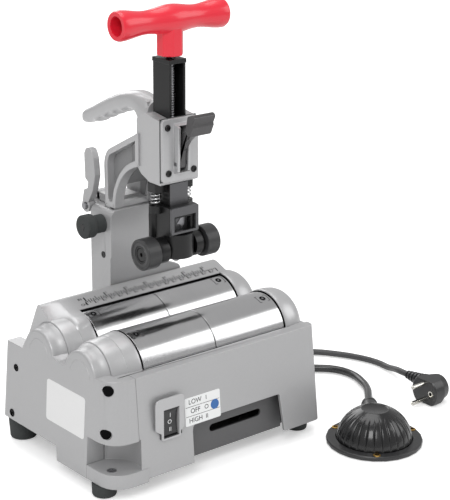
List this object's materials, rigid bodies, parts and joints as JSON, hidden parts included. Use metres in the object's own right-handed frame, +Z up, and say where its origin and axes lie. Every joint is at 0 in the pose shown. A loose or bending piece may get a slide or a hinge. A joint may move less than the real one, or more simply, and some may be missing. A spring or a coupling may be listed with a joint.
{
  "type": "electric pipe cutter",
  "caption": "Bench-top electric pipe cutter: two driven rollers in a cast base, a swing-up cutting head fed by a T-handle screw, mains cord with plug and an air-hose foot pedal.",
  "frame": {"origin": "on the floor under the middle of the box of everything but the cords, coils and plug", "axes": "+X along the rollers to the switch's right, +Y from the front panel to the back, +Z up"},
  "size_m": [0.4531, 0.4314, 0.4545],
  "materials": {
    "casting": "light grey satin paint on die-cast metal",
    "roller_steel": "ground and polished",
    "steel": "machined steel",
    "blackened": "blackened steel, satin",
    "dark_rubber": "matt dark rubber and nylon",
    "black_plastic": "black moulded plastic",
    "red_plastic": "glossy red moulding",
    "grey_paint": "dark grey painted sheet and castings",
    "lever_grey": "dark grey cast lever",
    "cord_black": "black flexible sheath"
  },
  "bodies": {
    "frame": {"base_housing": "casting", "top_cover": "casting", "left_end_cover": "casting", "bottom_plate": "grey_paint", "inner_panel": "grey_paint", "foot_front_left": "dark_rubber", "foot_front_right": "dark_rubber", "foot_rear_left": "dark_rubber", "foot_rear_right": "dark_rubber", "switch_bezel": "casting", "gearmotor": "grey_paint", "front_bearing_left": "steel", "front_bearing_right": "steel", "rear_bearing_left": "steel", "rear_bearing_right": "steel", "bracket": "casting", "hinge_pin": "steel", "mains_gland": "black_plastic", "mains_lead": "cord_black", "mains_coil": "cord_black", "mains_run": "cord_black", "mains_plug": "black_plastic", "hose_fitting": "black_plastic", "hose_lead": "cord_black", "hose_coil": "cord_black", "hose_run": "cord_black", "pedal_base": "black_plastic"},
    "front_roller": {"front_shaft": "steel", "front_sleeve_left": "roller_steel", "front_sleeve_right": "roller_steel", "front_gear": "steel"},
    "rear_roller": {"rear_shaft": "steel", "rear_sleeve_left": "roller_steel", "rear_sleeve_right": "roller_steel", "rear_gear": "steel"},
    "drive_train": {"drive_gear": "steel"},
    "swing_arm": {"arm": "casting", "cover_plate": "casting", "lever_pin": "steel"},
    "quick_lever_unit": {"quick_lever": "lever_grey", "half_nut": "steel"},
    "column_unit": {"column": "blackened", "ram_post": "steel", "cutter_pin": "steel", "spring_left": "roller_steel", "spring_right": "roller_steel"},
    "handle_unit": {"tee_handle": "red_plastic", "feed_screw": "steel"},
    "carriage_unit": {"carriage": "blackened", "carriage_front_plate": "steel", "guide_axle_left": "steel", "guide_axle_right": "steel"},
    "cutter": {"cutter_wheel": "roller_steel"},
    "left_guide_wheel": {"guide_wheel_left": "dark_rubber"},
    "right_guide_wheel": {"guide_wheel_right": "dark_rubber"},
    "plunger": {"plunger_knob": "dark_rubber"},
    "latch": {"latch_lever": "casting"},
    "rocker": {"switch_rocker": "black_plastic"},
    "pedal_button": {"pedal_dome": "black_plastic"}
  },
  "joints": [
    {"name": "front_roller_spin", "type": "hinge", "parent": "frame", "child": "front_roller", "pos_m": [-0.026, -0.01226, 0.1125], "axis": [1, 0, 0], "continuous": true},
    {"name": "rear_roller_spin", "type": "hinge", "parent": "frame", "child": "rear_roller", "pos_m": [-0.026, 0.06014, 0.1125], "axis": [1, 0, 0], "continuous": true},
    {"name": "drive_gear_spin", "type": "hinge", "parent": "frame", "child": "drive_train", "pos_m": [-0.026, 0.02394, 0.08577], "axis": [1, 0, 0], "continuous": true},
    {"name": "arm_swing", "type": "hinge", "parent": "frame", "child": "swing_arm", "pos_m": [-0.026, 0.13094, 0.232], "axis": [-1, 0, 0], "range_deg": [0, 60]},
    {"name": "quick_release", "type": "hinge", "parent": "swing_arm", "child": "quick_lever_unit", "pos_m": [-0.026, 0.00544, 0.3], "axis": [1, 0, 0], "range_deg": [0, 8], "stiffness_Nm_per_rad": 0.5},
    {"name": "column_feed", "type": "slide", "parent": "swing_arm", "child": "column_unit", "axis": [0, 0, -1], "range_m": [0, 0.045]},
    {"name": "handle_turn", "type": "hinge", "parent": "column_unit", "child": "handle_unit", "pos_m": [-0.026, 0.02744, 0.44], "axis": [0, 0, -1], "range_deg": [0, 6480]},
    {"name": "carriage_slide", "type": "slide", "parent": "column_unit", "child": "carriage_unit", "axis": [0, 0, 1], "range_m": [0, 0.006], "stiffness_N_per_m": 4000, "springref_m": -0.003, "deforming": ["spring_left", "spring_right"]},
    {"name": "cutter_spin", "type": "hinge", "parent": "column_unit", "child": "cutter", "pos_m": [-0.026, 0.02194, 0.2045], "axis": [1, 0, 0], "continuous": true},
    {"name": "left_guide_wheel_spin", "type": "hinge", "parent": "carriage_unit", "child": "left_guide_wheel", "pos_m": [-0.0636, 0.01854, 0.2093], "axis": [1, 0, 0], "continuous": true},
    {"name": "right_guide_wheel_spin", "type": "hinge", "parent": "carriage_unit", "child": "right_guide_wheel", "pos_m": [0.0116, 0.01854, 0.2093], "axis": [1, 0, 0], "continuous": true},
    {"name": "plunger_pull", "type": "slide", "parent": "frame", "child": "plunger", "axis": [-1, 0, 0], "range_m": [0, 0.006], "stiffness_N_per_m": 800, "springref_m": -0.003},
    {"name": "latch_swing", "type": "hinge", "parent": "frame", "child": "latch", "pos_m": [-0.055, 0.13094, 0.232], "axis": [-1, 0, 0], "range_deg": [0, 25]},
    {"name": "rocker_tilt", "type": "hinge", "parent": "frame", "child": "rocker", "pos_m": [-0.1022, -0.06836, 0.0675], "axis": [1, 0, 0], "range_deg": [-10, 10]},
    {"name": "pedal_press", "type": "slide", "parent": "frame", "child": "pedal_button", "axis": [0, 0, -1], "range_m": [0, 0.004], "stiffness_N_per_m": 3000, "springref_m": -0.002}
  ],
  "couplings": [
    {"joint": "rear_roller_spin", "follows": "front_roller_spin", "ratio": 1},
    {"joint": "drive_gear_spin", "follows": "front_roller_spin", "ratio": -0.8},
    {"joint": "column_feed", "follows": "handle_turn", "m_per_rad": 0.00039789}
  ]
}
